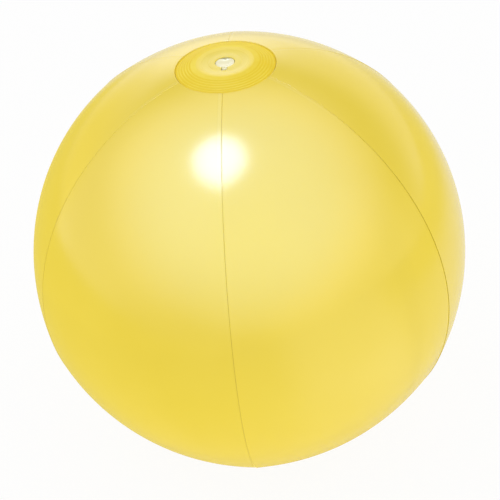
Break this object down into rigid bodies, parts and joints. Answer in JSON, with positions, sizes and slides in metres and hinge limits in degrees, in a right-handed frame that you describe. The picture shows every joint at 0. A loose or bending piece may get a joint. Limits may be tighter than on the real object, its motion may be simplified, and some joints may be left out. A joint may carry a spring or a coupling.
{
  "type": "beach ball",
  "caption": "Inflated beach ball of welded film panels with a grooved disc at each pole and a push-in inflation valve with a hinged stopper.",
  "frame": {"origin": "centre of the ball, midway between the outer faces of the two pole discs", "axes": "+Z along the pole axis, up through the valve; -Y towards the seam that faces the viewer, which is also the side of the stopper's strap"},
  "size_m": [0.2764, 0.28, 0.2788],
  "materials": {
    "film": "gloss",
    "weld": "satin",
    "disc": "gloss",
    "valve": "satin"
  },
  "bodies": {
    "ball": {"panel_1": "film", "panel_2": "film", "panel_3": "film", "panel_4": "film", "panel_5": "film", "panel_6": "film", "seam_weld_1": "weld", "seam_weld_2": "weld", "seam_weld_3": "weld", "seam_weld_4": "weld", "seam_weld_5": "weld", "seam_weld_6": "weld", "top_disc": "disc", "bottom_disc": "disc", "valve_flange": "valve", "valve_skirt": "valve"},
    "stem": {"valve_stem": "valve"},
    "stopper": {"stopper_plug": "valve", "stopper_strap": "valve"},
    "flap": {"check_flap": "valve"}
  },
  "joints": [
    {"name": "valve_push", "type": "slide", "parent": "ball", "child": "stem", "axis": [0, 0, 1], "range_m": [0, 0.0125], "deforming": ["valve_skirt"]},
    {"name": "stopper_swing", "type": "hinge", "parent": "stem", "child": "stopper", "pos_m": [0, -0.007, 0.13789], "axis": [1, 0, 0], "range_deg": [0, 100]},
    {"name": "flap_swing", "type": "hinge", "parent": "stem", "child": "flap", "pos_m": [0, -0.0054, 0.12229], "axis": [-1, 0, 0], "range_deg": [0, 60], "stiffness_Nm_per_rad": 0.00001, "springref_deg": -28.65}
  ]
}
